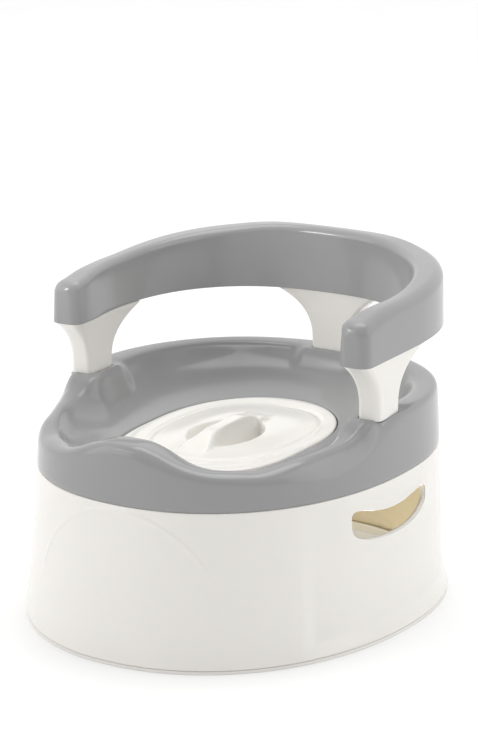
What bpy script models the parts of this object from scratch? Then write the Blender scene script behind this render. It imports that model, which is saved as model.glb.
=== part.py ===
"""Potty training chair: a base shell, a contoured seat, a lift-out bowl with a
lid, and a horseshoe arm and back rest on three flared posts.

Metres, +Z up. The chair faces -Y. The origin is the centre of the footprint,
on the floor.
"""
import math

import bmesh
import bpy
from mathutils import Vector

# ---- driving dimensions ------------------------------------------------
CENTRE_Y = 0.0126          # widest section of the base, from the footprint's centre
SEAM_Z = 0.1112            # joint line between the base and the seat
WALL = 0.0028              # moulded wall thickness
GAP = 0.0003               # clearance between touching pieces
SEGMENTS = 56              # points round each large outline

# Outlines are (half width, front reach, back reach, front power, back power).
FOOT = (0.1450, 0.1834, 0.1582, 2.10, 2.10)
SEAM = (0.1344, 0.1710, 0.1512, 2.17, 2.17)
LID = (0.0655, 0.0960, 0.0890, 3.40, 2.05)
BOWL_TOP = (0.0570, 0.0860, 0.0785, 2.90, 2.05)
BOWL_FLOOR = (0.0400, 0.0690, 0.0560, 2.40, 2.05)
LID_Y = 0.0006             # centre of the lid, bowl and seat opening

RING_TOP_Z = 0.0026        # tread of the anti-slip ring under the base wall
LEDGE_Z = 0.0180           # height of the foot flare
LEDGE_STEP = 0.0035        # how far the foot flares out at the sides and back
LUG_INSET = 0.0080         # screw lugs on the insides of the base and the seat
LUG_RADIUS = 0.0070
LUG_T = 0.0028
LUG_RISE = 0.0110          # height of the seat's solid lugs

SLOT_Y = -0.0124           # hand slots in the base's two sides
SLOT_HALF = 0.0470
SLOT_Z = 0.0835
SLOT_RISE = 0.0060
SLOT_HALF_HEIGHT = 0.0103

RECESS_Z = 0.1175          # floor of the recess that holds the bowl's flange
RECESS_RIM_Z = 0.1238
BOWL_FLANGE_T = 0.0022
LID_T = 0.0030
BOWL_FLOOR_Z = 0.0240

ARM_BOTTOM_Z = 0.1970
ARM_INNER = (0.1110, 0.1220, 2.35)     # half width, back reach, power
ARM_OUTER = (0.1300, 0.1410, 2.70)
ARM_TIP_Y = -0.0494        # where the arms end, in front
ARM_CENTRE_Y = 0.0126
ARM_WALL = 0.0025
# Top of the rest along Y: it climbs from the arm tips, in front, to the back.
ARM_TOP = (
    (-0.0494, 0.2272),
    (-0.0120, 0.2322),
    (0.0350, 0.2340),
    (0.0900, 0.2385),
    (0.1250, 0.2422),
    (0.1441, 0.2455),
)

POST_X = 0.1192            # foot of each front post
POST_Y = -0.0078
POST_FOOT_Z = 0.1550
POST_FOOT = (0.0087, 0.0156)           # half sizes of a front post's foot, x and y
BACK_POST_Y = 0.1462
BACK_POST_FOOT_Z = 0.1512
BACK_POST_FOOT = (0.0160, 0.0075)
BACK_POST_TOP_HALF = 0.0430
TENON_DEPTH = 0.0090
SOCKET_FLOOR = 0.0045

SHANK_RADIUS = 0.0016
HEAD_RADIUS = 0.0034
HEAD_HEIGHT = 0.0022


# ---- materials ---------------------------------------------------------
def material(name, colour, roughness, metallic=0.0):
    """A Principled material with one colour."""
    mat = bpy.data.materials.new(name)
    mat.use_nodes = True
    shader = mat.node_tree.nodes["Principled BSDF"]
    shader.inputs["Base Color"].default_value = (*colour, 1.0)
    shader.inputs["Roughness"].default_value = roughness
    shader.inputs["Metallic"].default_value = metallic
    return mat


# ---- mesh helpers ------------------------------------------------------
def finish(name, bm, mat, smooth=True):
    """Turn a bmesh into a named object with outward faces."""
    bmesh.ops.remove_doubles(bm, verts=bm.verts, dist=1e-6)
    bmesh.ops.recalc_face_normals(bm, faces=bm.faces)
    mesh = bpy.data.meshes.new(name)
    bm.to_mesh(mesh)
    bm.free()
    obj = bpy.data.objects.new(name, mesh)
    bpy.context.scene.collection.objects.link(obj)
    if mat is not None:
        mesh.materials.append(mat)
    if smooth:
        mesh.shade_smooth()
        mesh.set_sharp_from_angle(angle=math.radians(35))
    return obj


def loft(name, rings, mat, closed=False, smooth=True):
    """Skin equal rings of points; closed joins the last ring to the first."""
    bm = bmesh.new()
    rows = [[bm.verts.new(p) for p in ring] for ring in rings]
    count = len(rows[0])
    pairs = list(zip(rows, rows[1:]))
    if closed:
        pairs.append((rows[-1], rows[0]))
    for low, high in pairs:
        for i in range(count):
            j = (i + 1) % count
            bm.faces.new((low[i], low[j], high[j], high[i]))
    if not closed:
        bm.faces.new(rows[0])
        bm.faces.new(rows[-1])
    return finish(name, bm, mat, smooth)


def cut(target, cutter, operation="DIFFERENCE"):
    """Boolean with a hidden cutter or tool body."""
    cutter.hide_render = True
    cutter.display_type = "WIRE"
    mod = target.modifiers.new(cutter.name, "BOOLEAN")
    mod.operation = operation
    mod.solver = "EXACT"
    mod.object = cutter


def rod(name, centre, radius, low, high, sides=10):
    """A round bar along Z, used as a hole or a boss."""
    x, y = centre
    rings = []
    for z in (low, high):
        turn = [2 * math.pi * i / sides for i in range(sides)]
        rings.append([Vector((x + radius * math.cos(a), y + radius * math.sin(a), z)) for a in turn])
    return loft(name, rings, None)


def rounded_rect(centre, half, radius, z, corner=4):
    """A horizontal rectangle with round corners, as a ring of points."""
    points = []
    signs = ((1, 1), (-1, 1), (-1, -1), (1, -1))
    for k, (sx, sy) in enumerate(signs):
        cx = centre[0] + sx * (half[0] - radius)
        cy = centre[1] + sy * (half[1] - radius)
        for i in range(corner + 1):
            a = math.pi / 2 * (k + i / corner)
            points.append(Vector((cx + radius * math.cos(a), cy + radius * math.sin(a), z)))
    return points


def block(name, centre, half, radius, low, high):
    """An upright block with rounded corners."""
    return loft(name, [rounded_rect(centre, half, radius, z) for z in (low, high)], None)


# ---- outlines ----------------------------------------------------------
def mix(a, b, t):
    return a + (b - a) * t


def ease(t):
    t = max(0.0, min(1.0, t))
    return t * t * (3 - 2 * t)


def spow(value, power):
    """Signed power."""
    return math.copysign(abs(value) ** power, value)


def egg_point(shape, centre_y, angle, grow=0.0):
    """One point of an egg-shaped outline at a parameter angle."""
    half, front, back, front_power, back_power = shape
    c, s = math.cos(angle), math.sin(angle)
    power = front_power if s < 0 else back_power
    reach = front if s < 0 else back
    x = (half + grow) * spow(c, 2 / power)
    y = (reach + grow) * spow(s, 2 / power)
    return Vector((x, centre_y + y, 0.0))


def angles(count=SEGMENTS):
    """Parameter angles, evenly spaced from the X axis."""
    return [2 * math.pi * i / count for i in range(count)]


def from_front(angle):
    """Degrees away from the front centre, 0 to 180."""
    turn = math.degrees(angle) + 90
    return abs((turn + 180) % 360 - 180)


def through(knots, x):
    """Smooth curve through (x, value) knots, level at each end."""
    for k in range(len(knots) - 1):
        (x0, v0), (x1, v1) = knots[k], knots[k + 1]
        if x <= x1:
            before = knots[k - 1] if k else (2 * x0 - x1, v0)
            after = knots[k + 2] if k + 2 < len(knots) else (2 * x1 - x0, v1)
            h = x1 - x0
            t = (x - x0) / h
            m0 = (v1 - before[1]) / (x1 - before[0]) * h
            m1 = (after[1] - v0) / (after[0] - x0) * h
            a, b = 2 * t**3 - 3 * t**2 + 1, t**3 - 2 * t**2 + t
            return a * v0 + b * m0 + (1 - a) * v1 + (t**3 - t**2) * m1
    return knots[-1][1]


# ---- base --------------------------------------------------------------
def base_shape(z):
    """The base's outline at a height: straight draft from foot to seam."""
    t = z / SEAM_Z
    return tuple(mix(a, b, t) for a, b in zip(FOOT, SEAM))


def base_ring(z, inset):
    """The base wall at a height, moved in by inset; the foot flares out."""
    points = []
    for a in angles():
        side = ease((from_front(a) - 50) / 8)
        pinch = LEDGE_STEP * side * ease(z / LEDGE_Z) * (1 - z / SEAM_Z)
        p = egg_point(base_shape(z), CENTRE_Y, a, -inset - pinch)
        points.append(Vector((p.x, p.y, z)))
    return points


def slot_cutter():
    """A smile-shaped bar along X that opens both hand slots."""
    rings = []
    for x in (-0.17, 0.17):
        ring = []
        for a in angles(28):
            along = spow(math.cos(a), 0.75)
            y = SLOT_Y + SLOT_HALF * along
            z = SLOT_Z + SLOT_RISE * along**2 + SLOT_HALF_HEIGHT * spow(math.sin(a), 0.75)
            ring.append(Vector((x, y, z)))
        rings.append(ring)
    return loft("slot_cutter", rings, None)


def seam_screw_places():
    """Four screws join the base's lugs to the seat's."""
    places = []
    for turn in (45, 135, 225, 315):
        p = egg_point(SEAM, CENTRE_Y, math.radians(turn), -LUG_INSET)
        places.append((p.x, p.y))
    return places


def base_lug_heights():
    """The base's lugs stop just below its top edge."""
    high = SEAM_Z - 2 * GAP
    return high - LUG_T, high


def make_base(mat):
    top = SEAM_Z - GAP / 2
    heights = (RING_TOP_Z + GAP, 0.0075, 0.0125, LEDGE_Z, 0.034, 0.072, top)
    outer = [base_ring(z, 0.0) for z in heights]
    inner = [base_ring(z, WALL) for z in reversed(heights)]
    base = loft("base_shell", outer + inner, mat, closed=True)
    cut(base, slot_cutter())
    low, high = base_lug_heights()
    for k, place in enumerate(seam_screw_places()):
        cut(base, rod(f"base_lug_{k}", place, LUG_RADIUS, low, high, sides=16), "UNION")
        cut(base, rod(f"base_hole_{k}", place, SHANK_RADIUS + GAP, low - 0.002, high + 0.002))
    return base


def make_antislip_ring(mat):
    """An L-shaped rubber ring: a tread under the wall and a lip inside it."""
    lip = WALL + 2 * GAP
    profile = ((0.0, 0.0), (0.0, RING_TOP_Z), (lip, RING_TOP_Z))
    profile += ((lip, 0.0070), (lip + 0.0018, 0.0070), (lip + 0.0030, 0.0))
    return loft("antislip_ring", [base_ring(z, inset) for inset, z in profile], mat, closed=True)


# ---- seat --------------------------------------------------------------
def rim_height(angle):
    """Top of the seat's rim: a raised front guard, leg dips, then the posts."""
    knots = [(0, 0.1530), (5, 0.1524), (10, 0.1492), (15, 0.1445), (20, 0.1405), (26, 0.1378)]
    knots += [(34, 0.1367), (41, 0.1358), (46, 0.1372), (52, 0.1404), (58, 0.1437), (63, 0.1470)]
    knots += [(68, 0.1518), (73, 0.1544), (84, 0.1548), (96, 0.1548), (130, 0.1530), (180, 0.1505)]
    return through(knots, from_front(angle))


def shoulder_height(angle):
    """Where the upright wall ends and the rim's rounding starts."""
    knots = [(0, 0.1475), (10, 0.1416), (16, 0.1380), (23, 0.1341), (31, 0.1320), (45, 0.1295)]
    knots += [(55, 0.1288), (60, 0.1322), (65, 0.1360), (70, 0.1430), (76, 0.1500), (96, 0.1510)]
    knots += [(130, 0.1495), (180, 0.1470)]
    return through(knots, from_front(angle))


def rim_inset(angle):
    """How far in from the wall the rim's crest runs."""
    knots = [(0, 0.0080), (20, 0.0085), (40, 0.0100), (62, 0.0095), (74, 0.0060), (96, 0.0050)]
    knots += [(180, 0.0050)]
    return through(knots, from_front(angle))


def crest_width(angle):
    """Width of the level top of the rim: the front guard is broad."""
    knots = [(0, 0.0160), (10, 0.0150), (20, 0.0100), (32, 0.0050), (180, 0.0040)]
    return through(knots, from_front(angle))


def seat_wall_point(angle, z, inset=0.0):
    """The seat's outer wall, with a slight draft above the joint line."""
    draft = 0.05 * (z - SEAM_Z)
    p = egg_point(SEAM, CENTRE_Y, angle, -draft - inset)
    return Vector((p.x, p.y, z))


def opening_point(angle, z, grow):
    """A point outside (grow > 0) or inside the lid's outline."""
    p = egg_point(LID, LID_Y, angle, grow)
    return Vector((p.x, p.y, z))


def dish_point(angle, t, sink=0.0):
    """The slope from the rim's crest (t=0) down to the recess's rim (t=1)."""
    crest = rim_height(angle)
    edge = seat_wall_point(angle, crest, rim_inset(angle) + crest_width(angle))
    foot = opening_point(angle, RECESS_RIM_Z + 0.0012, 0.0105)
    p = edge.lerp(foot, t)
    fall = 1 - (1 - t) ** 1.7
    p.z = mix(crest - 0.0008, foot.z, fall) - sink
    return p


def seat_rings():
    """The seat's whole section, from the joint line over the top and back."""
    low = SEAM_Z + GAP / 2
    turn = angles()
    rings = [[seat_wall_point(a, low) for a in turn]]
    rings.append([seat_wall_point(a, mix(low, shoulder_height(a), 0.5)) for a in turn])
    rings.append([seat_wall_point(a, shoulder_height(a)) for a in turn])
    for t in (0.4, 0.75):
        ring = []
        for a in turn:
            z = mix(shoulder_height(a), rim_height(a), math.sin(t * math.pi / 2))
            ring.append(seat_wall_point(a, z, rim_inset(a) * (1 - math.cos(t * math.pi / 2))))
        rings.append(ring)
    rings.append([seat_wall_point(a, rim_height(a), rim_inset(a)) for a in turn])
    for t in (0.0, 0.25, 0.55, 0.8, 1.0):
        rings.append([dish_point(a, t) for a in turn])
    rings.append([opening_point(a, RECESS_RIM_Z, 0.0015) for a in turn])
    rings.append([opening_point(a, RECESS_Z, 0.0010) for a in turn])
    rings.append([opening_point(a, RECESS_Z, -0.0055) for a in turn])
    rings.append([opening_point(a, RECESS_Z - WALL, -0.0055) for a in turn])
    rings.append([opening_point(a, RECESS_Z - WALL, 0.0035) for a in turn])
    for t in (1.0, 0.55, 0.15):
        rings.append([dish_point(a, t, WALL + 0.0004) for a in turn])
    rings.append([seat_wall_point(a, shoulder_height(a) - 0.003, WALL + 0.001) for a in turn])
    rings.append([seat_wall_point(a, low, WALL) for a in turn])
    return rings


def post_places():
    """Name, foot centre, foot half sizes and foot height of each post."""
    return (
        ("front_post_left", (-POST_X, POST_Y), POST_FOOT, POST_FOOT_Z),
        ("front_post_right", (POST_X, POST_Y), POST_FOOT, POST_FOOT_Z),
        ("back_post", (0.0, BACK_POST_Y), BACK_POST_FOOT, BACK_POST_FOOT_Z),
    )


def label(post):
    """The short name of a post: left, right or back."""
    return post.replace("_post", "").replace("front_", "")


def tenon_half(foot):
    """Half sizes of the tenon that plugs into the seat."""
    return tuple(h - 0.0035 if h > 0.008 else h - 0.0028 for h in foot)


def make_seat(mat):
    seat = loft("seat_shell", seat_rings(), mat, closed=True)
    for name, centre, foot, top in post_places():
        boss = tuple(h + 0.0011 for h in foot)
        low = top - TENON_DEPTH - GAP - SOCKET_FLOOR
        cut(seat, block(name + "_boss", centre, boss, 0.005, low, top - GAP), "UNION")
    for k, place in enumerate(seam_screw_places()):
        low = SEAM_Z + 2 * GAP
        cut(seat, rod(f"seam_lug_{k}", place, LUG_RADIUS, low, low + LUG_RISE, sides=16), "UNION")
        cut(seat, rod(f"seam_pilot_{k}", place, SHANK_RADIUS + GAP, low - 0.002, low + LUG_RISE - 0.002))
    for name, centre, foot, top in post_places():
        half = tuple(h + GAP for h in tenon_half(foot))
        floor = top - TENON_DEPTH - GAP
        cut(seat, block(name + "_socket", centre, half, 0.002 + GAP, floor, top + 0.01))
        cut(seat, rod(name + "_foot_hole", centre, SHANK_RADIUS + GAP, floor - 0.01, floor + 0.001))
    return seat


# ---- bowl and lid ------------------------------------------------------
def make_bowl(mat):
    """An open bowl hanging by its flange in the seat's recess."""
    under = RECESS_Z + GAP
    top = under + BOWL_FLANGE_T
    turn = angles(40)

    def ring(shape, z, grow=0.0):
        out = []
        for a in turn:
            p = egg_point(shape, LID_Y, a, grow)
            out.append(Vector((p.x, p.y, z)))
        return out

    def wall(t):
        return tuple(mix(a, b, t) for a, b in zip(BOWL_TOP, BOWL_FLOOR))

    depth = under - BOWL_FLOOR_Z
    rings = [ring(LID, top, -0.0008), ring(LID, under, -0.0008), ring(BOWL_TOP, under)]
    for t in (0.35, 0.7, 0.93):
        rings.append(ring(wall(t**1.6), under - depth * t))
    rings.append(ring(BOWL_FLOOR, BOWL_FLOOR_Z, -0.008))
    outside = rings[2:]
    inside = []
    for k, t in enumerate((0.93, 0.7, 0.35)):
        inside.append(ring(wall(t**1.6), under - depth * t + 0.0004, -WALL))
    inside = [ring(BOWL_FLOOR, BOWL_FLOOR_Z + WALL, -0.0105)] + inside + [ring(BOWL_TOP, top, -WALL)]
    rings = list(reversed(outside)) + [rings[1], rings[0]] + list(reversed(inside))
    return loft("bowl", rings, mat)


def lid_top(x, y):
    """Height of the lid's upper face above its flange."""
    reach = LID[1] if y < LID_Y else LID[2]
    r = math.hypot(x / LID[0], (y - LID_Y) / reach)
    rise = 0.0030 * ease((0.80 - r) / 0.35)
    pocket = 0.0
    for side in (-1, 1):
        u = (x - side * 0.0165) / 0.0135
        v = (y + 0.012) / 0.0340
        pocket = max(pocket, ease(1.25 - (u * u + v * v) ** 0.5 * 1.15))
    return rise - 0.0130 * pocket


def make_lid(mat):
    """A thin lid with two finger pockets beside a central grip ridge."""
    under = RECESS_Z + 2 * GAP + BOWL_FLANGE_T
    steps = 10
    turn = angles(40)
    upper, lower = [], []
    for k in range(steps):
        t = 1 - k / steps
        top_ring, low_ring = [], []
        for a in turn:
            p = egg_point(LID, LID_Y, a, 0.0)
            x, y = p.x * t, LID_Y + (p.y - LID_Y) * t
            h = lid_top(x, y)
            top_ring.append(Vector((x, y, under + LID_T + h)))
            low_ring.append(Vector((x, y, under + h)))
        upper.append(top_ring)
        lower.append(low_ring)
    return loft("lid", list(reversed(lower)) + upper, mat)


# ---- arm and back rest -------------------------------------------------
def arm_side(shape, angle, grow=0.0):
    """A point of one side of the horseshoe, over its back half."""
    half, reach, power = shape
    x = (half + grow) * spow(math.cos(angle), 2 / power)
    y = (reach + grow) * spow(max(0.0, math.sin(angle)), 2 / power)
    return Vector((x, ARM_CENTRE_Y + y, 0.0))


def arm_stations(straight, bend, tip_y, tip_radius):
    """(inner point, outer point, share of the width) from tip to tip."""
    stations = []
    for t in (0.06, 0.35, 0.7, 1.0):
        stations.append((tip_y + tip_radius * t, math.sqrt(1 - (1 - t) ** 2)))
    last = tip_y + tip_radius
    for k in range(1, straight + 1):
        stations.append((mix(last, ARM_CENTRE_Y, k / straight), 1.0))
    right = []
    for y, width in stations[:-1]:
        inner = Vector((ARM_INNER[0], y, 0))
        outer = Vector((ARM_OUTER[0], y, 0))
        right.append((inner, outer, width))
    arc = []
    for k in range(bend + 1):
        a = math.pi * k / bend
        arc.append((arm_side(ARM_INNER, a), arm_side(ARM_OUTER, a), 1.0))
    left = [(Vector((-i.x, i.y, 0)), Vector((-o.x, o.y, 0)), w) for i, o, w in reversed(right)]
    return right + arc + left


def arm_section(station, low, inset, top_drop):
    """The rest's rounded section: upright sides and a round top."""
    inner, outer, width = station
    centre = (inner + outer) / 2
    across = (outer - inner) / 2
    half = across.length
    across.normalize()
    top = through(ARM_TOP, centre.y) - top_drop - 0.006 * (1 - width)
    half = (half - inset) * width
    points = []
    corner = min(0.0075, half * 0.9)
    draft = 0.0012
    for side in (1, -1):
        turn = [math.pi / 2 * k / 3 for k in range(4)]
        arc = []
        for a in turn:
            across_by = half - draft - corner + corner * math.cos(a)
            rise = Vector((0, 0, top - corner + corner * math.sin(a)))
            arc.append(centre + across * side * across_by + rise)
        foot = centre + across * side * half + Vector((0, 0, low))
        if side > 0:
            points += [foot] + arc
        else:
            points += list(reversed(arc)) + [foot]
    return points


def make_armrest_cover(mat):
    """The rest's cover: a rounded channel, open underneath."""
    outside = arm_stations(4, 26, ARM_TIP_Y, 0.009)
    rings = [arm_section(s, ARM_BOTTOM_Z, 0.0, 0.0) for s in outside]
    cover = loft("armrest_cover", rings, mat)
    hollow = arm_stations(4, 26, ARM_TIP_Y + ARM_WALL, 0.007)
    rings = [arm_section(s, ARM_BOTTOM_Z - 0.01, ARM_WALL, ARM_WALL) for s in hollow]
    cut(cover, loft("cover_hollow", rings, None))
    return cover


def under_screw_places():
    """Two screws through the underplate into the head of each post."""
    spread = 0.024
    places = []
    for side in (-1, 1):
        x = side * (ARM_INNER[0] + ARM_OUTER[0]) / 2
        for k, y in enumerate((-0.030, -0.030 + 2 * spread)):
            name = "left" if side < 0 else "right"
            places.append((f"post_screw_{name}_{k + 1}", (x, y)))
    back_y = ARM_CENTRE_Y + (ARM_INNER[1] + ARM_OUTER[1]) / 2 - 0.0008
    for k, x in enumerate((-spread, spread)):
        places.append((f"post_screw_back_{k + 1}", (x, back_y)))
    return places


def make_underplate(mat):
    """A flat strip that closes the cover's underside between its walls."""
    inset = ARM_WALL + GAP + 0.0002
    stations = arm_stations(4, 26, ARM_TIP_Y + inset, 0.007)
    rings = []
    for inner, outer, width in stations:
        centre = (inner + outer) / 2
        across = (outer - inner) / 2
        half = (across.length - inset) * width
        across.normalize()
        ring = []
        for side, z in ((1, 0.0), (1, 1.0), (-1, 1.0), (-1, 0.0)):
            level = ARM_BOTTOM_Z + z * 0.0024
            ring.append(centre + across * side * half + Vector((0, 0, level)))
        rings.append(ring)
    plate = loft("armrest_underplate", rings, mat)
    for name, place in under_screw_places():
        cut(plate, rod(name + "_hole", place, SHANK_RADIUS + GAP, 0.19, 0.21))
    return plate


# ---- posts -------------------------------------------------------------
def flare(z, low, high):
    """Share of the trumpet flare at a height: straight, then spreading."""
    start = low + 0.006
    return max(0.0, (z - start) / (high - start)) ** 2.0


def front_post_rings(side):
    """A front post: the head covers the underside of the arm's end."""
    high = ARM_BOTTOM_Z - GAP
    head_low, head_high = ARM_TIP_Y + 0.0010, 0.0326
    head_x = (ARM_INNER[0] + ARM_OUTER[0]) / 2
    rings = []
    for k in range(9):
        z = mix(POST_FOOT_Z, high, k / 8)
        t = flare(z, POST_FOOT_Z, high)
        front = mix(POST_Y - POST_FOOT[1], head_low, t)
        back = mix(POST_Y + POST_FOOT[1], head_high, t)
        half_x = mix(POST_FOOT[0], 0.0092, t)
        centre = (side * mix(POST_X, head_x, t), (front + back) / 2)
        radius = mix(0.0045, 0.0085, t)
        rings.append(rounded_rect(centre, (half_x, (back - front) / 2), radius, z))
    return rings


def back_post_rings():
    """The back post: its head bends with the back rest."""
    high = ARM_BOTTOM_Z - GAP
    back_y = ARM_CENTRE_Y + (ARM_INNER[1] + ARM_OUTER[1]) / 2
    rings = []
    for k in range(9):
        z = mix(BACK_POST_FOOT_Z, high, k / 8)
        t = flare(z, BACK_POST_FOOT_Z, high)
        half_x = mix(BACK_POST_FOOT[0], BACK_POST_TOP_HALF, t)
        half_y = mix(BACK_POST_FOOT[1], 0.0090, t)
        centre = (0.0, mix(BACK_POST_Y, back_y, t))
        ring = rounded_rect(centre, (half_x, half_y), 0.0040, z, corner=5)
        for p in ring:
            p.y -= 2.2 * t * p.x * p.x
        rings.append(ring)
    return rings


def make_posts(mat):
    rings = {
        "front_post_left": front_post_rings(-1),
        "front_post_right": front_post_rings(1),
        "back_post": back_post_rings(),
    }
    for name, centre, foot, low in post_places():
        post = loft(name, rings[name], mat)
        half = tenon_half(foot)
        cut(post, block(name + "_tenon", centre, half, 0.002, low - TENON_DEPTH, low + 0.002), "UNION")
        pilot = rod(name + "_foot_pilot", centre, SHANK_RADIUS + GAP, low - TENON_DEPTH - 0.001, low + 0.004)
        cut(post, pilot)
        for screw, place in under_screw_places():
            if screw.startswith("post_screw_" + label(name)):
                high = ARM_BOTTOM_Z + 0.001
                cut(post, rod(screw + "_pilot", place, SHANK_RADIUS + GAP, ARM_BOTTOM_Z - 0.0105, high))


# ---- screws ------------------------------------------------------------
def make_screw(name, place, seat_z, length, mat, head_up=True):
    """A pan-head screw: the head sits at seat_z, the shank runs away from it."""
    up = 1 if head_up else -1
    profile = ((0.0010, -length), (SHANK_RADIUS, -length + 0.0012), (SHANK_RADIUS, GAP))
    profile += ((HEAD_RADIUS, GAP), (HEAD_RADIUS, 0.0011), (HEAD_RADIUS * 0.6, HEAD_HEIGHT))
    rings = []
    for radius, z in profile:
        ring = []
        for i in range(10):
            a = 2 * math.pi * i / 10
            ring.append(Vector((radius * math.cos(a), radius * math.sin(a), up * z)))
        rings.append(ring)
    screw = loft(name, rings, mat)
    screw.location = (place[0], place[1], seat_z)
    return screw


def make_screws(mat):
    for k, place in enumerate(seam_screw_places()):
        make_screw(f"seam_screw_{k + 1}", place, base_lug_heights()[0], 0.0100, mat, head_up=False)
    for name, centre, foot, top in post_places():
        under = top - TENON_DEPTH - GAP - SOCKET_FLOOR
        make_screw(f"foot_screw_{label(name)}", centre, under, 0.0165, mat, head_up=False)
    for name, place in under_screw_places():
        make_screw(name, place, ARM_BOTTOM_Z + 0.0024, 0.0115, mat)


def main():
    for obj in list(bpy.data.objects):
        bpy.data.objects.remove(obj)
    white = material("white_gloss_plastic", (0.88, 0.86, 0.82), 0.22)
    grey = material("grey_gloss_plastic", (0.33, 0.33, 0.335), 0.20)
    rubber = material("antislip_rubber", (0.80, 0.79, 0.76), 0.70)
    steel = material("zinc_steel", (0.62, 0.63, 0.64), 0.35, 1.0)
    make_base(white)
    make_antislip_ring(rubber)
    make_seat(grey)
    make_bowl(white)
    make_lid(white)
    make_armrest_cover(grey)
    make_underplate(grey)
    make_posts(white)
    make_screws(steel)


main()
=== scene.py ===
"""Potty training chair: the finished looks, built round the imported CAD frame.

Metres, +Z up, the chair faces -Y. Sizes come from the frame's boxes; the shape
constants below say how each moulding curves between them.
"""
import math

import bmesh
import bpy
import numpy as np
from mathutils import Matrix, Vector


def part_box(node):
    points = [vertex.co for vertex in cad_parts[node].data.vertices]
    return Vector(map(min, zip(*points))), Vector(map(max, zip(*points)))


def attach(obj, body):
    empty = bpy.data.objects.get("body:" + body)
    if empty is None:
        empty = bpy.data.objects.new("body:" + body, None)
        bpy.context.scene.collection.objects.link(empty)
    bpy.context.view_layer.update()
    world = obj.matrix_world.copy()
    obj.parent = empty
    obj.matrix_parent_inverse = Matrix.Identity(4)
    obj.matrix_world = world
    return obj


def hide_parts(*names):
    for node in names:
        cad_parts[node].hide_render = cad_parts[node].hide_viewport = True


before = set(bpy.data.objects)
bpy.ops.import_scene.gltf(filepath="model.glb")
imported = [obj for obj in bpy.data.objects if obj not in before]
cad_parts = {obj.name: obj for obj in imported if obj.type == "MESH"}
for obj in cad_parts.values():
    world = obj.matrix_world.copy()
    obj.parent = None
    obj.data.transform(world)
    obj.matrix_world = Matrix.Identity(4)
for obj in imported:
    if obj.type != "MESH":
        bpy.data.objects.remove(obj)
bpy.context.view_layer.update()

# ---- sizes read from the frame -----------------------------------------
FOOT_LO, FOOT_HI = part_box("antislip_ring")
BASE_LO, BASE_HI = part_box("base_shell")
SEAT_LO, SEAT_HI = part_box("seat_shell")
LID_LO, LID_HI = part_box("lid")
BOWL_LO, BOWL_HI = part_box("bowl")
ARM_LO, ARM_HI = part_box("armrest_cover")

GAP = 0.0003
SEAM_Z = (BASE_HI.z + SEAT_LO.z) / 2
DEPTH = FOOT_HI.y - FOOT_LO.y
CENTRE_Y = FOOT_LO.y + 0.5369 * DEPTH         # widest section of the base

# Outlines are (half width, front reach, back reach, front power, back power).
FOOT = (FOOT_HI.x, CENTRE_Y - FOOT_LO.y, FOOT_HI.y - CENTRE_Y, 2.10, 2.10)
SEAM = (SEAT_HI.x, CENTRE_Y - SEAT_LO.y, SEAT_HI.y - CENTRE_Y, 2.17, 2.17)
LID_Y = 0.0006
LID = (LID_HI.x, LID_Y - LID_LO.y, LID_HI.y - LID_Y, 3.40, 2.05)

WALL = 0.0028
LID_T = 0.0030
LEDGE_Z = 0.0180                              # top of the foot flare
LEDGE_STEP = 0.0035
SLOT_Y = -0.0135                              # middle of the hand slots
SLOT_HALF = 0.0465
SLOT_Z = 0.0830
SLOT_RISE = 0.0076
SLOT_HALF_HEIGHT = 0.0096
SLOT_SWELL = (0.0024, -0.0020)                # the slot is taller towards its front end
SLOT_ROUND = 0.56                             # below 1 squares the slot's ends
ARCH_Z = 0.0350                               # embossed arch on the front
ARCH_RADIUS = 0.0725

ARM_CENTRE_Y = CENTRE_Y
ARM_OUTER = (ARM_HI.x, ARM_HI.y - ARM_CENTRE_Y, 2.70)
ARM_INNER = (ARM_HI.x - 0.0190, ARM_HI.y - ARM_CENTRE_Y - 0.0190, 2.35)
ARM_TIP_Y = ARM_LO.y + 0.0022
ARM_TIP_RADIUS = 0.0080                       # corners of the tips, seen from above
ARM_TIP_WIDEN = 0.0052                        # the arms broaden inwards to their tips
ARM_WALL = 0.0025
# Drop of the rest's top below its highest point, along Y.
ARM_DROP = [(-0.0494, 0.0183), (-0.0120, 0.0133), (0.0350, 0.0115), (0.0900, 0.0070)]
ARM_DROP += [(0.1250, 0.0033), (0.1441, 0.0)]

POST_FOOT_Z = 0.1550                          # where the front posts stand on the seat
POST_FOOT = (0.1192, -0.0078, 0.0087, 0.0156)
POST_HEAD = (0.1180, -0.0010, 0.0114, 0.0448)
BACK_FOOT_Z = 0.1512
BACK_FOOT = (0.0, 0.1462, 0.0160, 0.0075)
SOCKET_DEPTH = 0.0012


# ---- small maths -------------------------------------------------------
def ease(t):
    t = np.clip(t, 0.0, 1.0)
    return t * t * (3 - 2 * t)


def mix(a, b, t):
    return a + (b - a) * t


def spow(value, power):
    """Signed power."""
    return np.sign(value) * np.abs(value) ** power


def through(knots, x):
    """Smooth curve through (x, value) knots, level at both ends."""
    kx = np.array([k[0] for k in knots], float)
    kv = np.array([k[1] for k in knots], float)
    slope = np.zeros_like(kv)
    slope[1:-1] = (kv[2:] - kv[:-2]) / (kx[2:] - kx[:-2])
    x = np.clip(np.asarray(x, float), kx[0], kx[-1])
    k = np.clip(np.searchsorted(kx, x, side="right") - 1, 0, len(kx) - 2)
    h = kx[k + 1] - kx[k]
    t = (x - kx[k]) / h
    a = 2 * t**3 - 3 * t**2 + 1
    b = t**3 - 2 * t**2 + t
    c = t**3 - t**2
    return a * kv[k] + b * h * slope[k] + (1 - a) * kv[k + 1] + c * h * slope[k + 1]


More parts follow.
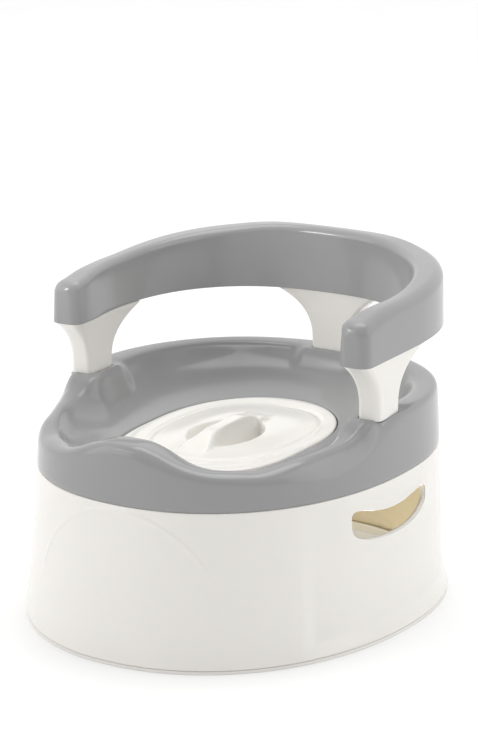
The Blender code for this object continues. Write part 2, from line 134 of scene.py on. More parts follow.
def egg(shape, centre_y, angle, grow=0.0):
    """X and Y of an egg-shaped outline at parameter angles."""
    half, front, back, front_power, back_power = shape
    c, s = np.cos(angle), np.sin(angle)
    power = np.where(s < 0, front_power, back_power)
    reach = np.where(s < 0, front, back)
    x = (half + grow) * spow(c, 2 / power)
    y = (reach + grow) * spow(s, 2 / power)
    return x, centre_y + y


def from_front(angle):
    """Degrees away from the front centre, 0 to 180."""
    turn = np.degrees(angle) + 90
    return np.abs((turn + 180) % 360 - 180)


def even_angles(shape, count, dense=None):
    """Parameter angles spaced evenly along an outline; dense weights the spacing."""
    fine = np.linspace(0, 2 * math.pi, 7201)
    x, y = egg(shape, 0.0, fine)
    step = np.hypot(np.diff(x), np.diff(y))
    if dense is not None:
        step = step * dense((fine[1:] + fine[:-1]) / 2)
    along = np.concatenate(([0.0], np.cumsum(step)))
    return np.interp(np.linspace(0, along[-1], count, endpoint=False), along, fine)


def spline_rows(control, per_span=6):
    """Cubic B-spline down the first axis of a (rows, columns, 3) array, clamped at its ends."""
    c = np.concatenate((control[:1], control[:1], control, control[-1:], control[-1:]))
    rows = []
    for k in range(len(c) - 3):
        for t in np.arange(per_span) / per_span:
            w = ((1 - t) ** 3, 3 * t**3 - 6 * t**2 + 4, -3 * t**3 + 3 * t**2 + 3 * t + 1, t**3)
            rows.append(sum(wi * c[k + i] for i, wi in enumerate(w)) / 6)
    rows.append(c[-1])
    return np.array(rows)


# ---- mesh helpers ------------------------------------------------------
def skin(name, rows, mats, loop=False, caps=False, sharp=50, band_of=None):
    """Quads over a (rows, columns, 3) array whose columns wrap round."""
    count, cols = len(rows), len(rows[0])
    verts = np.asarray(rows, float).reshape(-1, 3)
    faces, slots = [], []
    last = count if loop else count - 1
    for r in range(last):
        low, high = r * cols, ((r + 1) % count) * cols
        for c in range(cols):
            d = (c + 1) % cols
            faces.append((low + c, low + d, high + d, high + c))
            slots.append(band_of(r) if band_of else 0)
    if caps:
        faces.append(tuple(range(cols)))
        faces.append(tuple(range((count - 1) * cols, count * cols)))
        slots += [slots[0], slots[-1]]
    mesh = bpy.data.meshes.new(name)
    mesh.from_pydata(verts.tolist(), [], faces)
    for m in mats:
        mesh.materials.append(m)
    mesh.polygons.foreach_set("material_index", slots)
    bm = bmesh.new()
    bm.from_mesh(mesh)
    bmesh.ops.recalc_face_normals(bm, faces=bm.faces)
    bm.to_mesh(mesh)
    bm.free()
    mesh.shade_smooth()
    mesh.set_sharp_from_angle(angle=math.radians(sharp))
    obj = bpy.data.objects.new(name, mesh)
    bpy.context.scene.collection.objects.link(obj)
    return obj


def apply_cut(target, cutter, sharp=40):
    """Difference boolean, applied to the target's mesh; the cutter is deleted."""
    mod = target.modifiers.new("cut", "BOOLEAN")
    mod.operation = "DIFFERENCE"
    mod.solver = "EXACT"
    mod.object = cutter
    depsgraph = bpy.context.evaluated_depsgraph_get()
    mesh = bpy.data.meshes.new_from_object(target.evaluated_get(depsgraph))
    target.modifiers.clear()
    old = target.data
    target.data = mesh
    bpy.data.meshes.remove(old)
    mesh.shade_smooth()
    mesh.set_sharp_from_angle(angle=math.radians(sharp))
    mesh.name = target.name
    bpy.data.objects.remove(cutter)


def stack(xy, z):
    """A (columns, 3) ring from x, y arrays and a height or heights."""
    x, y = xy
    return np.stack((x, y, np.broadcast_to(z, np.shape(x))), axis=1)


# ---- materials ---------------------------------------------------------
def plastic(name, light, dark, roughness, spread, grain=0.02, subsurface=0.0):
    """Glossy moulded plastic: a faint colour drift, fine haze and orange peel."""
    mat = bpy.data.materials.new(name)
    mat.use_nodes = True
    nodes, links = mat.node_tree.nodes, mat.node_tree.links
    shader = nodes["Principled BSDF"]
    shader.inputs["IOR"].default_value = 1.49
    shader.inputs["Subsurface Weight"].default_value = subsurface
    shader.inputs["Subsurface Radius"].default_value = (0.006, 0.005, 0.004)
    coords = nodes.new("ShaderNodeTexCoord")

    drift = nodes.new("ShaderNodeTexNoise")
    drift.inputs["Scale"].default_value = 7.0
    drift.inputs["Detail"].default_value = 3.0
    links.new(coords.outputs["Object"], drift.inputs["Vector"])
    tint = nodes.new("ShaderNodeValToRGB")
    tint.color_ramp.elements[0].position = 0.35
    tint.color_ramp.elements[1].position = 0.65
    tint.color_ramp.elements[0].color = (*dark, 1)
    tint.color_ramp.elements[1].color = (*light, 1)
    links.new(drift.outputs["Fac"], tint.inputs["Fac"])
    links.new(tint.outputs["Color"], shader.inputs["Base Color"])

    haze = nodes.new("ShaderNodeTexNoise")
    haze.inputs["Scale"].default_value = 38.0
    haze.inputs["Detail"].default_value = 6.0
    links.new(coords.outputs["Object"], haze.inputs["Vector"])
    rough = nodes.new("ShaderNodeMapRange")
    rough.inputs["From Min"].default_value = 0.3
    rough.inputs["From Max"].default_value = 0.7
    rough.inputs["To Min"].default_value = roughness - spread
    rough.inputs["To Max"].default_value = roughness + spread
    links.new(haze.outputs["Fac"], rough.inputs["Value"])
    links.new(rough.outputs["Result"], shader.inputs["Roughness"])

    peel = nodes.new("ShaderNodeTexNoise")
    peel.inputs["Scale"].default_value = 420.0
    peel.inputs["Detail"].default_value = 2.0
    links.new(coords.outputs["Object"], peel.inputs["Vector"])
    bump = nodes.new("ShaderNodeBump")
    bump.inputs["Strength"].default_value = grain
    bump.inputs["Distance"].default_value = 0.0004
    links.new(peel.outputs["Fac"], bump.inputs["Height"])
    links.new(bump.outputs["Normal"], shader.inputs["Normal"])
    return mat


def zinc(name):
    """Bright zinc: fine turning marks in the roughness and the bump."""
    mat = plastic(name, (0.66, 0.67, 0.69), (0.55, 0.56, 0.58), 0.32, 0.08, grain=0.15)
    mat.node_tree.nodes["Principled BSDF"].inputs["Metallic"].default_value = 1.0
    return mat


def studio_floor(name):
    """Pale floor sheet with a trace of fibre, painted shade round and under the chair, and lit from below."""
    mat = plastic(name, (0.93, 0.93, 0.93), (0.915, 0.915, 0.915), 0.75, 0.05, grain=0.03)
    shader = mat.node_tree.nodes["Principled BSDF"]
    shader.inputs["Emission Color"].default_value = (1, 1, 1, 1)
    shader.inputs["Emission Strength"].default_value = 0.25
    nodes, links = mat.node_tree.nodes, mat.node_tree.links
    away = nodes.new("ShaderNodeVectorMath")
    away.operation = "LENGTH"
    links.new(nodes["Texture Coordinate"].outputs["Object"], away.inputs[0])
    # Painted shade: the floor's colour darkens towards the chair, to 0.76 within 0.3 m of its centre.
    level = nodes.new("ShaderNodeMapRange")
    level.interpolation_type = "SMOOTHSTEP"
    level.inputs["From Min"].default_value = 0.3
    level.inputs["From Max"].default_value = 2.6
    level.inputs["To Min"].default_value = 0.76
    level.inputs["To Max"].default_value = 1.0
    links.new(away.outputs["Value"], level.inputs["Value"])
    shade = nodes.new("ShaderNodeVectorMath")
    shade.operation = "SCALE"
    links.new(nodes["Color Ramp"].outputs["Color"], shade.inputs[0])
    links.new(level.outputs["Result"], shade.inputs["Scale"])
    links.new(shade.outputs["Vector"], shader.inputs["Base Color"])
    return mat


WHITE = plastic("white_plastic", (0.820, 0.802, 0.762), (0.804, 0.785, 0.744), 0.17, 0.03, subsurface=0.12)
# Painted shade: a darker, warmer copy of the white plastic for the faces inside the base, where the shell
# lies in shade.
WHITE_PAINTED_SHADE = plastic("white_plastic_painted_shade", (0.74, 0.67, 0.52), (0.70, 0.63, 0.48), 0.35, 0.05)
GREY = plastic("grey_plastic", (0.302, 0.302, 0.304), (0.290, 0.290, 0.292), 0.15, 0.03)
RUBBER = plastic("antislip_rubber", (0.80, 0.785, 0.75), (0.76, 0.745, 0.71), 0.62, 0.06, grain=0.25)
ZINC = zinc("zinc_steel")


# ---- base --------------------------------------------------------------
def base_xy(z, angle, inset=0.0):
    """The base wall at heights z: straight draft, with a foot that flares out."""
    t = z / SEAM_Z
    shape = [mix(a, b, t) for a, b in zip(FOOT, SEAM)]
    side = ease((from_front(angle) - 51) / 5)
    pinch = LEDGE_STEP * side * ease(z / LEDGE_Z) * (1 - t)
    return egg(shape, CENTRE_Y, angle, -inset - pinch)


def arch_relief(x, z):
    """The embossed arch: a fine raised line round the front centre."""
    away = np.hypot(x, z - ARCH_Z) - ARCH_RADIUS
    fade = ease((z - 0.030) / 0.035)
    return 0.00045 * fade * np.exp(-((away / 0.0011) ** 2))


def slot_distance(y, z):
    """Signed size of a point against the hand slot: 1 is on its edge."""
    along = (y - SLOT_Y) / SLOT_HALF
    bow = np.minimum(along**2, 1.3)
    half = SLOT_HALF_HEIGHT + (SLOT_SWELL[0] + SLOT_SWELL[1] * np.clip(along, -1.1, 1.1)) * bow
    up = (z - SLOT_Z - SLOT_RISE * bow) / half
    return (np.abs(along) ** (2 / SLOT_ROUND) + np.abs(up) ** (2 / SLOT_ROUND)) ** (SLOT_ROUND / 2)


def slot_outline(grow=0.0, count=120):
    """Y and Z round a hand slot."""
    a = np.linspace(0, 2 * math.pi, count, endpoint=False)
    along = spow(np.cos(a), SLOT_ROUND)
    y = SLOT_Y + (SLOT_HALF + grow) * along
    half = SLOT_HALF_HEIGHT + (SLOT_SWELL[0] + SLOT_SWELL[1] * along) * along**2 + grow
    z = SLOT_Z + SLOT_RISE * along**2 + half * spow(np.sin(a), SLOT_ROUND)
    return y, z


def make_base():
    """The white shell, with its emboss, its foot flare and two hand slots."""
    dense = lambda a: 1.0 + 1.2 * (from_front(a) < 48)
    angle = even_angles(FOOT, 620, dense)
    low, top = BASE_LO.z, BASE_HI.z
    heights = np.concatenate((np.linspace(low, 0.030, 26), np.linspace(0.030, top - 0.0008, 84)[1:]))
    rows = []
    for z in heights:
        x, y = base_xy(z, angle)
        lift = arch_relief(x, z) * (y < CENTRE_Y)
        reach = slot_distance(y, z)
        lip = 0.0013 * np.exp(-(((reach - 1.0) * SLOT_HALF_HEIGHT / 0.0028) ** 2))
        rows.append(stack(base_xy(z, angle, -lift - lip), z))
    for turn in (30, 60, 90):
        r = 0.0008
        a = math.radians(turn)
        rows.append(stack(base_xy(top, angle, r * (1 - math.cos(a))), top - r * (1 - math.sin(a))))
    split = len(rows)
    rows.append(stack(base_xy(top, angle, WALL - 0.0004), top))
    for z in heights[::-3]:
        rows.append(stack(base_xy(z, angle, WALL), z))
    # Faces inside the shell get the painted-shade copy of the white.
    band = lambda r: 0 if r < split else 1
    base = skin("base_shell_visual", rows, (WHITE, WHITE_PAINTED_SHADE), loop=True, band_of=band, sharp=40)
    y, z = slot_outline()
    ends = [np.stack((np.full_like(y, x), y, z), axis=1) for x in (-0.17, 0.17)]
    apply_cut(base, skin("slot_cutter", ends, (WHITE,), caps=True))
    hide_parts("base_shell")
    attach(base, "chair")


def wall_x(y, z, side, inset=0.0):
    """X of the base's side wall over points in Y and Z."""
    t = z / SEAM_Z
    pinch = LEDGE_STEP * ease(z / LEDGE_Z) * (1 - t) + inset
    half = mix(FOOT[0], SEAM[0], t) - pinch
    reach = np.where(y < CENTRE_Y, mix(FOOT[1], SEAM[1], t), mix(FOOT[2], SEAM[2], t)) - pinch
    power = mix(FOOT[3], SEAM[3], t)
    inner = 1 - np.abs((y - CENTRE_Y) / reach) ** power
    return side * half * np.clip(inner, 0, 1) ** (1 / power)


def make_slot_rims():
    """A soft round edge moulded round each hand slot."""
    for side, name in ((-1, "left"), (1, "right")):
        rows = []
        for turn in np.linspace(0, 2 * math.pi, 20, endpoint=False):
            out, back = math.cos(turn), math.sin(turn)
            y, z = slot_outline(0.0009 - 0.0017 * out * 0.9)
            x = wall_x(y, z, side) - side * (0.0011 - 0.0021 * back)
            rows.append(np.stack((x, y, z), axis=1))
        rim = skin(f"slot_rim_{name}", rows, (WHITE,), loop=True, sharp=180)
        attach(rim, "chair")


def make_antislip_ring():
    """The soft ring under the foot: a rounded tread and a lip inside."""
    angle = even_angles(FOOT, 320)
    top = 0.0026
    lip = WALL + 2 * GAP
    profile = [(0.0007, 0.0), (0.0002, 0.0003), (0.0, 0.0009), (0.0, 0.0018), (0.0003, 0.0024)]
    profile += [(0.0009, top), (lip, top), (lip, 0.0066), (lip + 0.0009, 0.0070)]
    profile += [(lip + 0.0018, 0.0066), (lip + 0.0030, 0.0)]
    rows = [stack(base_xy(z, angle, inset), z) for inset, z in profile]
    ring = skin("antislip_ring_visual", rows, (RUBBER,), loop=True, sharp=50)
    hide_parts("antislip_ring")
    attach(ring, "chair")


# ---- seat --------------------------------------------------------------
RIM = [(0, 0.1530), (5, 0.1524), (10, 0.1492), (15, 0.1445), (20, 0.1405), (26, 0.1378)]
RIM += [(34, 0.1367), (41, 0.1360), (46, 0.1374), (52, 0.1400), (58, 0.1416), (63, 0.1426)]
RIM += [(68, 0.1442), (72, 0.1474), (76, 0.1518), (80, 0.1546), (86, 0.1552), (96, 0.1552)]
RIM += [(130, 0.1530), (180, 0.1512)]
SHOULDER = [(0, 0.1475), (10, 0.1416), (16, 0.1380), (23, 0.1341), (31, 0.1320), (45, 0.1295)]
SHOULDER += [(55, 0.1275), (60, 0.1268), (65, 0.1278), (70, 0.1312), (76, 0.1380), (84, 0.1475)]
SHOULDER += [(90, 0.1512), (98, 0.1515), (130, 0.1495), (180, 0.1475)]
INSET = [(0, 0.0080), (20, 0.0085), (40, 0.0100), (62, 0.0098), (76, 0.0098), (86, 0.0060)]
INSET += [(94, 0.0055), (180, 0.0055)]
CREST = [(0, 0.0160), (10, 0.0150), (20, 0.0100), (32, 0.0050), (58, 0.0050), (70, 0.0105)]
CREST += [(78, 0.0155), (92, 0.0160), (106, 0.0130), (150, 0.0125), (166, 0.0150), (180, 0.0185)]
LEDGE = [(0, 0.0100), (25, 0.0120), (45, 0.0140), (62, 0.0125), (130, 0.0115), (180, 0.0090)]
RECESS_RIM_Z = BOWL_HI.z + 0.0034
FOOT_SCREWS = {
    "front_post_left": "foot_screw_left",
    "front_post_right": "foot_screw_right",
    "back_post": "foot_screw_back",
}


def seat_xy(angle, z, inset=0.0):
    """The seat's outer wall, with a slight draft above the joint line."""
    return egg(SEAM, CENTRE_Y, angle, -0.05 * (z - SEAM_Z) - inset)


def seat_section(angle):
    """Control rows of the seat's upper surface, wall to recess."""
    off = from_front(angle)
    rim, shoulder, inset = through(RIM, off), through(SHOULDER, off), through(INSET, off)
    ledge, crest = through(LEDGE, off), through(CREST, off)
    low = SEAT_LO.z
    rise = rim - shoulder
    soft = ease((off - 50) / 12) * ease((90 - off) / 10)
    rows = [stack(seat_xy(angle, low, 0.0006), low), stack(seat_xy(angle, low), low + 0.0008)]
    rows += [stack(seat_xy(angle, mix(low, shoulder, t)), mix(low, shoulder, t)) for t in (0.3, 0.65, 0.95)]
    rows.append(stack(seat_xy(angle, rim, inset * 0.08), shoulder + rise * mix(0.45, 0.20, soft)))
    rows.append(stack(seat_xy(angle, rim, inset * 0.42), shoulder + rise * mix(0.92, 0.60, soft)))
    rows.append(stack(seat_xy(angle, rim, inset * 0.90), rim + 0.0003))
    rows.append(stack(seat_xy(angle, rim, inset + crest * 0.5), rim))
    brow = stack(seat_xy(angle, rim, inset + crest), rim - 0.0006)
    foot = stack(egg(LID, LID_Y, angle, ledge), RECESS_RIM_Z + 0.0016)
    rows.append(brow)
    guard = ease((30 - off) / 14)
    for t, round_sink, hollow_sink in ((0.14, 0.12, 0.34), (0.38, 0.42, 0.67), (0.72, 0.86, 0.91)):
        row = mix(brow, foot, t)
        sink = mix(hollow_sink, round_sink, guard)
        row[:, 2] = mix(brow[:, 2], foot[:, 2], sink)
        rows.append(row)
    rows.append(foot)
    rows.append(stack(egg(LID, LID_Y, angle, 0.0036), RECESS_RIM_Z + 0.0002))
    for grow, drop in ((0.0016, -0.0002), (0.0009, -0.0007), (0.0007, -0.0020), (0.0007, -0.0046)):
        rows.append(stack(egg(LID, LID_Y, angle, grow), RECESS_RIM_Z + drop))
    return np.array(rows)


def post_feet():
    """Node, foot outline and foot height of each post."""
    x, y, hx, hy = POST_FOOT
    return (("front_post_left", (-x, y, hx, hy), POST_FOOT_Z),
            ("front_post_right", (x, y, hx, hy), POST_FOOT_Z),
            ("back_post", BACK_FOOT, BACK_FOOT_Z))


def prism(name, foot, grow, radius, low, high, mats):
    """An upright block with rounded corners."""
    cx, cy, hx, hy = foot
    outline = rounded_rect(cx, cy, hx + grow, hy + grow, radius)
    return skin(name, [stack(outline, low), stack(outline, high)], mats, caps=True)


def raise_pads(top):
    """Bring the seat's surface level under each post, with a soft edge round the pad."""
    row = np.arange(len(top))[:, None]
    part = ease((row - 30) / 18) * ease((78 - row) / 12)
    for _, (cx, cy, hx, hy), foot_z in post_feet():
        dx = np.maximum(np.abs(top[:, :, 0] - cx) - hx - 0.0012, 0)
        dy = np.maximum(np.abs(top[:, :, 1] - cy) - hy - 0.0012, 0)
        hold = part * (1 - ease(np.hypot(dx, dy) / 0.0150))
        top[:, :, 2] = mix(top[:, :, 2], foot_z, hold)


def make_seat():
    """The grey seat: splash guard, leg dips, dish and the lid's recess."""
    angle = even_angles(SEAM, 400)
    top = spline_rows(seat_section(angle), 6)
    raise_pads(top)
    across = np.roll(top, -1, axis=1) - np.roll(top, 1, axis=1)
    normal = np.cross(across, np.gradient(top, axis=0))
    normal /= np.maximum(np.linalg.norm(normal, axis=2, keepdims=True), 1e-12)
    under = (top - WALL * normal)[84:20:-3]
    low = SEAT_LO.z
    floor_z = BOWL_HI.z - 0.0022 - GAP
    outside = 0.0007 + WALL
    recess = ((0.0007, floor_z), (-0.0055, floor_z), (-0.0055, floor_z - WALL), (outside, floor_z - WALL),
              (outside, RECESS_RIM_Z - WALL - 0.0010))
    rows = list(top) + [stack(egg(LID, LID_Y, angle, grow), z) for grow, z in recess]
    rows += list(under) + [stack(seat_xy(angle, low, WALL), low)]
    seat = skin("seat_shell_visual", rows, (GREY,), loop=True, sharp=50)
    for node, foot, foot_z in post_feet():
        cutter = prism(f"{node}_socket", foot, 0.0006, 0.0046, foot_z - SOCKET_DEPTH, foot_z + 0.02, (GREY,))
        apply_cut(seat, cutter, 50)
    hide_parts("seat_shell")
    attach(seat, "chair")
    for node, foot, foot_z in post_feet():
        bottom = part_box(FOOT_SCREWS[node])[0].z + 0.0022
        boss = prism(f"{node}_boss", foot, 0.0011, 0.0050, bottom, foot_z - SOCKET_DEPTH - GAP, (GREY,))
        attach(boss, "chair")


# ---- lid and bowl ------------------------------------------------------
def lid_height(x, y):
    """The lid's upper face above its flange: a low dome, a grip and two pockets."""
    reach = np.where(y < LID_Y, LID[1], LID[2])
    r = (np.abs(x / LID[0]) ** 2.4 + np.abs((y - LID_Y) / reach) ** 2.4) ** (1 / 2.4)
    bead = 0.0006 * np.exp(-(((r - 0.93) / 0.05) ** 2))
    step = -0.0009 * np.exp(-(((r - 0.80) / 0.030) ** 2))
    dome = 0.0026 * ease((0.79 - r) / 0.40)
    along = y + 0.016
    out = np.abs(x)
    neck = 0.0042 + 0.0050 * np.clip(np.abs(along) / 0.040, 0, 1) ** 2
    ridge = ease((0.056 - np.abs(along)) / 0.040) * ease((neck + 0.0038 - out) / 0.0038)
    edge = 0.0050 + 0.0215 * np.clip(1 - np.abs(along / 0.040) ** 2.2, 0, 1) ** 0.9
    pocket = ease((edge - out) / 0.0065) * ease((out - 0.0040) / 0.0050)
    pocket = pocket * ease((along + 0.040) / 0.048) * ease((0.038 - along) / 0.010)
    return bead + step + dome + 0.0074 * ridge - 0.0135 * pocket


def make_lid():
    """The lid: rounded flange, soft dome, finger pockets beside a ridge."""
    angle = even_angles(LID, 260)
    x0, y0 = egg(LID, LID_Y, angle)
    under_z = BOWL_HI.z + GAP
    flange_top = under_z + LID_T
    rows = []
    for shrink, z in ((0.0014, under_z), (0.0004, under_z + 0.0004), (0.0, under_z + 0.0012),
                      (0.0002, flange_top - 0.0006), (0.0008, flange_top), (0.0018, flange_top + 0.0004)):
        rows.append(stack(egg(LID, LID_Y, angle, -shrink), z))
    steps = 110
    low = []
    for k in range(1, steps):
        t = 1 - k / steps
        x, y = x0 * t, LID_Y + (y0 - LID_Y) * t
        if t < 0.962:
            height = lid_height(x, y)
            rows.append(stack((x, y), flange_top + height))
            if k % 3 == 0:
                low.append(stack((x, y), under_z + height - 0.0002))
    lid = skin("lid_visual", list(reversed(low)) + rows, (WHITE,), caps=True, sharp=60)
    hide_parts("lid")
    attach(lid, "lid")


def make_bowl():
    """The lift-out bowl with rounded corners and a rolled flange."""
    angle = even_angles(LID, 160)
    top, floor = BOWL_HI.z, BOWL_LO.z
    under = top - 0.0022
    mouth = (0.0570, 0.0860, 0.0785, 2.90, 2.05)
    foot = (0.0400, 0.0690, 0.0560, 2.40, 2.05)

    def ring(shape, z, grow=0.0):
        return stack(egg(shape, LID_Y, angle, grow), z)

    def wall(t):
        return [mix(a, b, t**1.6) for a, b in zip(mouth, foot)]

    depth = under - floor
    outer = [ring(LID, under, -0.0012), ring(mouth, under, 0.0004), ring(mouth, under - 0.003)]
    outer += [ring(wall(t), under - depth * t) for t in (0.15, 0.35, 0.55, 0.75, 0.88)]
    outer += [ring(foot, floor + 0.004, 0.0005), ring(foot, floor + 0.0006, -0.005)]
    outer.append(ring(foot, floor, -0.012))
    inner = [ring(foot, floor + WALL, -0.0135), ring(foot, floor + WALL + 0.0008, -0.008)]
    inner += [ring(wall(t), under - depth * t + 0.0006, -WALL) for t in (0.93, 0.75, 0.55, 0.35, 0.15)]
    inner += [ring(mouth, top - 0.001, -WALL + 0.0002), ring(mouth, top, -WALL + 0.0016)]
    inner += [ring(LID, top, -0.0018), ring(LID, top - 0.0007, -0.0009), ring(LID, under + 0.0006, -0.0008)]
    rows = list(reversed(outer)) + list(reversed(inner))
    fine = spline_rows(np.array(rows), 3)
    bowl = skin("bowl_visual", fine, (WHITE,), caps=True, sharp=60)
    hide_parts("bowl")
    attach(bowl, "bowl")


# ---- arm and back rest -------------------------------------------------
def arm_plan(inset=0.0, straight=26, bend=150):
    """Inner and outer edges of the rest from tip to tip, with a station's share of its end."""
    tip = ARM_TIP_Y + inset
    along = ARM_TIP_RADIUS * (1 - np.cos(np.radians(np.linspace(0, 90, 14))))
    run = np.linspace(tip + ARM_TIP_RADIUS, ARM_CENTRE_Y, straight)[1:-1]
    y = np.concatenate((tip + along, run))
    short = ARM_TIP_RADIUS - np.sqrt(np.clip(ARM_TIP_RADIUS**2 - (ARM_TIP_RADIUS - along) ** 2, 0, None))
    short = np.concatenate((short, np.zeros(len(run))))
    widen = ARM_TIP_WIDEN * ease((ARM_CENTRE_Y - y) / 0.052)
    inner = np.stack((ARM_INNER[0] - widen, y), axis=1)
    outer = np.stack((np.full_like(y, ARM_OUTER[0]), y), axis=1)
    a = np.linspace(0, math.pi, bend)

    def arc(shape):
        half, reach, power = shape
        return np.stack((half * spow(np.cos(a), 2 / power),
                         ARM_CENTRE_Y + reach * np.abs(np.sin(a)) ** (2 / power)), axis=1)

    flip = np.array([-1.0, 1.0])
    inner = np.concatenate((inner, arc(ARM_INNER), (inner * flip)[::-1]))
    outer = np.concatenate((outer, arc(ARM_OUTER), (outer * flip)[::-1]))
    short = np.concatenate((short, np.zeros(bend), short[::-1]))
    return inner, outer, short


def arm_rows(inset, low):
    """Closed sections of the rest: upright sides, a soft outer edge, a crisper inner one."""
    inner, outer, short = arm_plan(inset)
    centre = (inner + outer) / 2
    across = (outer - inner) / 2
    half = np.linalg.norm(across, axis=1)
    across = across / half[:, None]
    rows = []
    for c, d, h, s in zip(centre, across, half, short):
        top = ARM_HI.z - through(ARM_DROP, c[1]) - inset - 0.85 * s
        reach = h - inset - s
        ring = []
        for sign, corner in ((1, 0.0086), (-1, 0.0056)):
            corner = min(corner, (reach - 0.0010) * 0.92)
            turn = np.radians(np.linspace(0, 90, 12))
            out = [reach, reach - 0.0003, reach - 0.0006, reach - 0.0009]
            z = [low, mix(low, top - corner, 0.3), mix(low, top - corner, 0.7), top - corner]
            out += list(reach - 0.0009 - corner + corner * np.cos(turn[1:]))
            z += list(top - corner + corner * np.sin(turn[1:]))
            half_ring = [(*(c + d * sign * o), height) for o, height in zip(out, z)]
            ring += half_ring if sign > 0 else half_ring[::-1]
        rows.append(ring)
    return np.array(rows)


def make_armrest():
    """The grey cover: a rounded channel, open underneath, with closed round tips."""
    cover = skin("armrest_cover_visual", arm_rows(0.0, ARM_LO.z), (GREY,), caps=True, sharp=60)
    hollow = skin("armrest_hollow", arm_rows(ARM_WALL, ARM_LO.z - 0.01), (GREY,), caps=True)
    apply_cut(cover, hollow, 60)
    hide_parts("armrest_cover")
    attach(cover, "chair")


# ---- posts -------------------------------------------------------------
def rounded_rect(cx, cy, hx, hy, radius, corner=8, side=6):
    """X and Y round a rectangle with round corners."""
    xs, ys = [], []
    signs = ((1, 1), (-1, 1), (-1, -1), (1, -1))
    for k, (sx, sy) in enumerate(signs):
        px, py = cx + sx * (hx - radius), cy + sy * (hy - radius)
        for i in range(corner + 1):
            a = math.pi / 2 * (k + i / corner)
            xs.append(px + radius * math.cos(a))
            ys.append(py + radius * math.sin(a))
        nx, ny = signs[(k + 1) % 4]
        a = math.pi / 2 * (k + 1)
        end = (cx + nx * (hx - radius) + radius * math.cos(a), cy + ny * (hy - radius) + radius * math.sin(a))
        for i in range(1, side):
            t = i / side
            xs.append(mix(px + radius * math.cos(a), end[0], t))
            ys.append(mix(py + radius * math.sin(a), end[1], t))
    return np.array(xs), np.array(ys)


def flare(t):
    """Share of the trumpet flare at a share of the height."""
    return np.clip((t - 0.06) / 0.94, 0, 1) ** 2.8


def post_rows(foot, head, low, high, foot_radius, head_radius, bend=0.0, side=8):
    """Sections of a post from its socket up to its flared head."""
    rows = [stack(rounded_rect(*foot, foot_radius, side=side), low - SOCKET_DEPTH + GAP)]
    for t in np.linspace(0, 1, 48):
        f = flare(t)
        cx, cy, hx, hy = (mix(a, b, f) for a, b in zip(foot, head))
        x, y = rounded_rect(cx, cy, hx, hy, mix(foot_radius, head_radius, f), side=side)
        rows.append(stack((x, y - bend * f * x * x), mix(low, high, t)))
    return rows


def make_posts():
    """Three flared posts; the back one's head bends with the back rest."""
    top = ARM_LO.z - GAP
    back_y = ARM_CENTRE_Y + (ARM_INNER[1] + ARM_OUTER[1]) / 2
    back_head = (0.0, back_y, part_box("back_post")[1].x, 0.0090)
    for node, foot, foot_z in post_feet():
        if node == "back_post":
            rows = post_rows(foot, back_head, foot_z, top, 0.0040, 0.0045, bend=2.2, side=14)
        else:
            head = (math.copysign(POST_HEAD[0], foot[0]), *POST_HEAD[1:])
            rows = post_rows(foot, head, foot_z, top, 0.0040, 0.0080)
        post = skin(f"{node}_visual", rows, (WHITE,), caps=True, sharp=50)
        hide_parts(node)
        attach(post, "chair")


# ---- screw lugs --------------------------------------------------------
def make_lugs():
    """The round lugs inside the base and the seat that the joint's screws hold."""
    turn = np.linspace(0, 2 * math.pi, 40, endpoint=False)
    for k in range(1, 5):
        lo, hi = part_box(f"seam_screw_{k}")
        centre = (lo + hi) / 2
        for part, low, high, mat, finish in (
            # The base lugs sit inside the shell and take its painted shade.
            ("base", lo.z + 0.0022, SEAM_Z - GAP, WHITE_PAINTED_SHADE, "white_plastic"),
            ("seat", SEAM_Z + GAP, hi.z + 0.0025, GREY, "grey_plastic"),
        ):
            rows = []
            for r, z in ((0.0066, low), (0.0070, low + 0.0004), (0.0070, high - 0.0004), (0.0066, high)):
                rows.append(stack((centre.x + r * np.cos(turn), centre.y + r * np.sin(turn)), z))
            lug = skin(f"{part}_lug_{k}", rows, (mat,), caps=True)
            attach(lug, "chair")


# ---- CAD pieces that stay ----------------------------------------------
def dress_cad():
    """Finished materials on the CAD nodes that are shown as they are."""
    for name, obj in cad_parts.items():
        if "screw" in name:
            obj.data.materials.clear()
            obj.data.materials.append(ZINC)
        elif name == "armrest_underplate":
            obj.data.materials.clear()
            obj.data.materials.append(GREY)


# ---- studio ------------------------------------------------------------
def make_floor():
    size = 9.0
    corners = [(-size, -size, 0), (size, -size, 0), (size, size, 0), (-size, size, 0)]
    mesh = bpy.data.meshes.new("floor")
    mesh.from_pydata(corners, [], [(0, 1, 2, 3)])
    mesh.materials.append(studio_floor("studio_floor"))
    floor = bpy.data.objects.new("floor", mesh)
    floor.location.z = -0.0002
    bpy.context.scene.collection.objects.link(floor)


def softbox(name, location, target, size, power, colour=(1, 1, 1)):
    light = bpy.data.lights.new(name, "AREA")
    light.shape = "RECTANGLE"
    light.size, light.size_y = size
    light.energy = power
    light.color = colour
    obj = bpy.data.objects.new(name, light)
    obj.location = location
    obj.rotation_mode = "QUATERNION"
    obj.rotation_quaternion = (Vector(target) - Vector(location)).to_track_quat("-Z", "Y")
    obj.visible_camera = False
    bpy.context.scene.collection.objects.link(obj)


def make_spot():
    """A small lamp over the left arm that opens up the shade under the back rest."""
    light = bpy.data.lights.new("spot", "SPOT")
    light.energy = 3.7
    light.spot_size = math.radians(36)
    light.spot_blend = 0.8
    light.shadow_soft_size = 0.08
    obj = bpy.data.objects.new("spot", light)
    obj.location = (-0.25, -0.40, 0.45)
    obj.rotation_mode = "QUATERNION"
    obj.rotation_quaternion = (Vector((0.05, 0.13, 0.20)) - obj.location).to_track_quat("-Z", "Y")
    obj.visible_camera = False
    bpy.context.scene.collection.objects.link(obj)


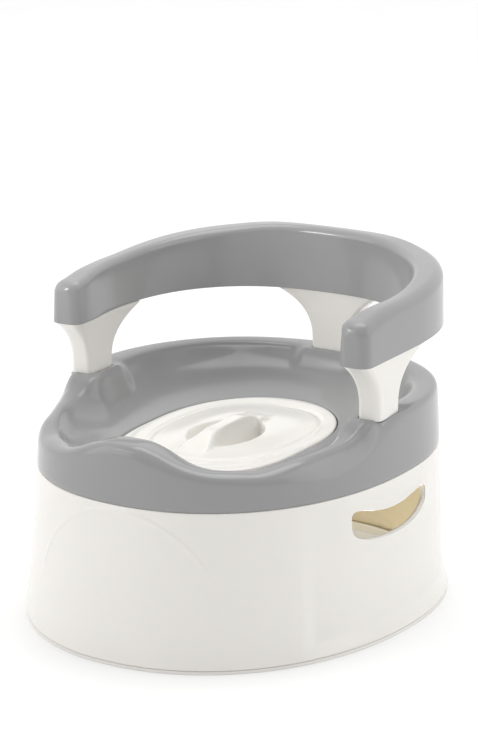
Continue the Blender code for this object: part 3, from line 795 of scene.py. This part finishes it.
def make_world():
    """White backdrop; the light is strongest from behind and dim from the camera's side."""
    world = bpy.data.worlds.new("studio")
    world.use_nodes = True
    nodes, links = world.node_tree.nodes, world.node_tree.links
    back = nodes["Background"]
    back.inputs["Color"].default_value = (1, 1, 1, 1)
    coords = nodes.new("ShaderNodeTexCoord")
    facing = nodes.new("ShaderNodeVectorMath")
    facing.operation = "DOT_PRODUCT"
    facing.inputs[1].default_value = (0.508, -0.862, 0.0)
    links.new(coords.outputs["Generated"], facing.inputs[0])
    level = nodes.new("ShaderNodeMapRange")
    level.inputs["From Min"].default_value = -0.6
    level.inputs["From Max"].default_value = 0.9
    level.inputs["To Min"].default_value = 1.00
    level.inputs["To Max"].default_value = 0.40
    links.new(facing.outputs["Value"], level.inputs["Value"])
    path = nodes.new("ShaderNodeLightPath")
    pick = nodes.new("ShaderNodeMix")
    pick.inputs["B"].default_value = 1.05
    links.new(path.outputs["Is Camera Ray"], pick.inputs["Factor"])
    links.new(level.outputs["Result"], pick.inputs["A"])
    links.new(pick.outputs["Result"], back.inputs["Strength"])
    bpy.context.scene.world = world
    bpy.context.scene.view_settings.view_transform = "Standard"


def make_inner_light():
    """A dim warm glow inside the base, like daylight through the thin shell."""
    for side in (-1, 1):
        light = bpy.data.lights.new("inner_glow", "POINT")
        light.energy = 0.13
        light.color = (1.0, 0.93, 0.74)
        light.shadow_soft_size = 0.012
        obj = bpy.data.objects.new("inner_glow", light)
        obj.location = (side * 0.100, 0.030, 0.030)
        obj.visible_camera = False
        bpy.context.scene.collection.objects.link(obj)


def make_camera():
    """A long lens from the front right, a little above."""
    azimuth, elevation, distance = math.radians(30.5), math.radians(15.5), 1.90
    aim = Vector((-0.00405, 0.01021, 0.1665))
    back = Vector((math.sin(azimuth) * math.cos(elevation), -math.cos(azimuth) * math.cos(elevation),
                   math.sin(elevation)))
    data = bpy.data.cameras.new("camera")
    data.sensor_width = 36.0
    data.lens = 128.64
    cam = bpy.data.objects.new("camera", data)
    cam.location = aim + back * distance
    cam.rotation_mode = "QUATERNION"
    cam.rotation_quaternion = (-back).to_track_quat("-Z", "Y")
    bpy.context.scene.collection.objects.link(cam)
    bpy.context.scene.camera = cam


make_base()
make_slot_rims()
make_antislip_ring()
make_seat()
make_lid()
make_bowl()
make_armrest()
make_posts()
make_lugs()
dress_cad()
make_floor()
make_world()
make_inner_light()
make_spot()
softbox("top", (0.0, 0.3, 1.9), (0, 0, 0.1), (1.4, 1.4), 15.0)
softbox("left", (-1.03, -1.23, 0.75), (0, 0, 0.15), (1.3, 1.3), 7.6)
softbox("right", (1.58, 0.28, 0.75), (0, 0, 0.15), (1.3, 1.3), 6.0)
make_camera()
